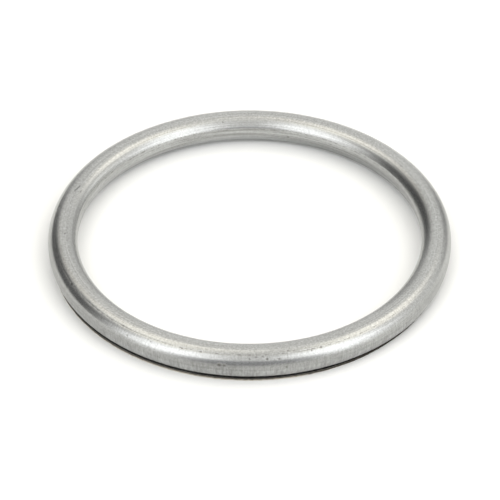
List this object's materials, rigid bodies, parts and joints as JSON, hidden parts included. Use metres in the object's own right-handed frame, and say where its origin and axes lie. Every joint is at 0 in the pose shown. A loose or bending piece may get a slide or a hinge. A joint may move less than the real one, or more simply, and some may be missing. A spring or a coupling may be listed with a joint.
{
  "type": "exhaust gasket",
  "caption": "Round exhaust gasket: a hollow crush ring folded from one strip of thin sheet steel, with an open seam round the outside near the bottom.",
  "frame": {"origin": "on the ring's axis, at the level of its flat bottom, on which it rests", "axes": "+Z along the ring's axis, from the flat bottom to the rounded top; X and Y in the plane of the ring, with no preferred direction"},
  "size_m": [0.0702, 0.0702, 0.0056],
  "materials": {
    "sheet_steel": "satin"
  },
  "bodies": {
    "root": {"gasket_ring": "sheet_steel"}
  },
  "joints": []
}
